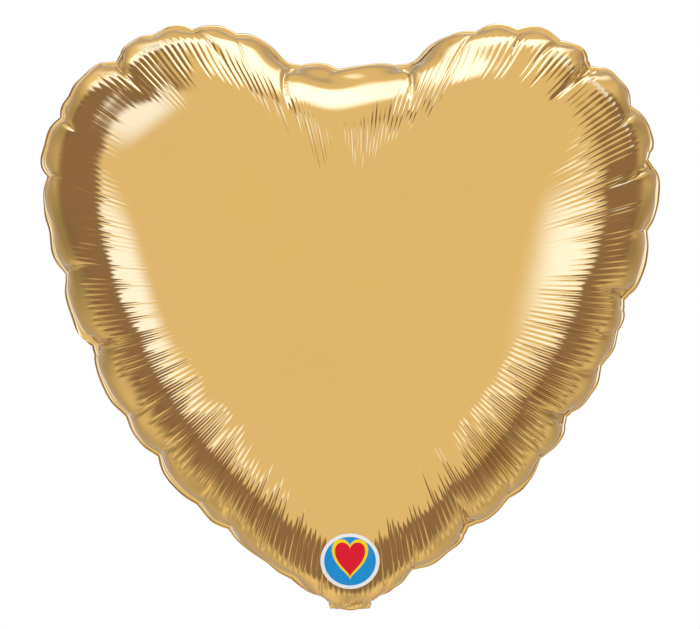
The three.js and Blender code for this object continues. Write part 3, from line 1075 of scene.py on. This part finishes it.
def add_softbox(graph, colour, across, up, box):
    """Lays a soft rounded rectangle of light over the colour on the chart."""
    at_x, at_y, half_length, half_width, tilt, soft, brightness, tint = box
    turn = math.radians(tilt)
    dx = graph.math("SUBTRACT", across, float(at_x))
    dy = graph.math("SUBTRACT", up, float(at_y))
    cubes = []
    for side, half in ((graph.along(dx, dy, turn), half_length), (graph.along(dy, dx, -turn), half_width)):
        share = graph.math("ABSOLUTE", graph.math("DIVIDE", side, float(half)))
        cubes.append(graph.math("POWER", share, 3.0))
    reach = graph.math("POWER", graph.add(*cubes), 1 / 3)
    mask = graph.smooth(reach, 1 - soft, 1 + soft, 1.0, 0.0)
    return graph.mix(mask, colour, tuple(brightness * c for c in tint) + (1.0,))


def surround():
    """The studio as a world. The foil mirrors it, and the camera and the matt surfaces see plain white."""
    world = bpy.data.worlds.new("studio")
    world.use_nodes = True
    graph = Graph(world.node_tree)
    x, y, z = graph.place("Generated")
    away = graph.times(graph.math("ARCCOSINE", graph.times(y, -1.0)), DEGREES)
    flat = graph.math("MAXIMUM", graph.hypot(x, z), 1e-4)
    across = graph.math("DIVIDE", graph.times(away, x), flat)
    up = graph.math("DIVIDE", graph.times(away, z), flat)

    # The masks of the chart.
    upright = graph.along(z, x, math.radians(OVERHEAD["middle"]))
    from_top = graph.times(graph.math("ARCCOSINE", graph.math("DIVIDE", upright, flat)), DEGREES)
    half, soft = OVERHEAD["half"], OVERHEAD["soft"]
    beside = graph.smooth(from_top, half - soft, half + soft)
    later_below = graph.times(graph.math("MINIMUM", z, 0.0), DARK_SIDES["later_below"])
    later_right = graph.times(graph.math("MAXIMUM", x, 0.0), DARK_SIDES["later_right"])
    raised = graph.math("SUBTRACT", graph.add(away, later_below), later_right)
    dark = graph.times(graph.smooth(raised, DARK_SIDES["from"], DARK_SIDES["to"]), beside)
    to_back = graph.smooth(away, LIGHTER["from"], LIGHTER["to"])
    above = graph.times(to_back, graph.math("SUBTRACT", 1.0, beside))

    # What is at the sides and behind the balloon.
    above_light = graph.smooth(z, 0.15, 0.75, BACK["light"], BACK["light_above"])
    below_light = graph.smooth(z, -0.7, -0.1, BACK["light_below"], BACK["light"])
    back_colour = graph.mix(graph.math("MAXIMUM", above_light, below_light), BLACK, WHITE)
    dark_colour = tuple(DARK_SIDES["light"] * c for c in DARK_TINT) + (1.0,)
    side_colour = graph.mix(to_back, dark_colour, back_colour)

    # The chart, from the front wall to the backdrop.
    colour = (FRONT_WALL, FRONT_WALL, FRONT_WALL, 1.0)
    for box in SOFTBOXES_IN_FRONT:
        colour = add_softbox(graph, colour, across, up, box)
    colour = graph.mix(dark, colour, side_colour)
    colour = graph.mix(above, colour, back_colour)
    for box in SOFTBOXES_ABOVE:
        colour = add_softbox(graph, colour, across, up, box)
    behind = graph.smooth(away, BACKDROP["from"], BACKDROP["to"])
    light = BACKDROP["light"]
    colour = graph.mix(behind, colour, (light, light, light, 1.0))
    round_it = graph.times(graph.math("ARCTAN2", z, x), FLAGS["count"])
    swing = graph.times(graph.math("SINE", round_it), FLAGS["share"])
    at_flags = graph.smooth(away, FLAGS["from"], FLAGS["to"])
    past_flags = graph.smooth(away, FLAGS["fade_from"], FLAGS["fade_to"], 1.0, 0.0)
    at_flags = graph.times(graph.times(at_flags, past_flags), beside)
    colour = graph.mix(1.0, colour, graph.add(1.0, graph.times(swing, at_flags)), "MULTIPLY")

    # What each kind of ray sees.
    path = graph.nodes.new("ShaderNodeLightPath").outputs
    again = graph.smooth(path["Glossy Depth"], 1.2, 1.8)
    colour = graph.mix(1.0, colour, graph.mix(again, WHITE, SECOND_MIRROR), "MULTIPLY")
    plain = graph.math("MAXIMUM", path["Is Camera Ray"], path["Is Diffuse Ray"])
    graph.put(graph.mix(plain, colour, WHITE), graph.nodes["Background"].inputs["Color"])
    # Sampling the world as a lamp takes no notice of the kind of ray, and would tint the floor and the print.
    world.cycles.sampling_method = "NONE"
    bpy.context.scene.world = world


def floor():
    """A plain pale floor, low enough for the tail to swing. The foil doesn't mirror it."""
    material, graph, inputs = new_material("floor")
    tint = graph.mix(graph.noise(3.0), (0.93, 0.93, 0.93, 1), (0.90, 0.90, 0.90, 1))
    graph.put(tint, inputs["Base Color"])
    inputs["Roughness"].default_value = 0.9
    inputs["Specular IOR Level"].default_value = 0.0
    mesh = bpy.data.meshes.new("floor")
    turns = [2 * math.pi * k / FLOOR["sides"] for k in range(FLOOR["sides"])]
    rim = [(FLOOR["r"] * math.cos(t), FLOOR["r"] * math.sin(t), FLOOR["z"]) for t in turns]
    mesh.from_pydata(rim, [], [tuple(range(FLOOR["sides"]))])
    mesh.materials.append(material)
    disc = bpy.data.objects.new("floor", mesh)
    bpy.context.collection.objects.link(disc)
    disc.visible_glossy = False


surround()
floor()
bpy.context.scene.view_settings.view_transform = "Standard"
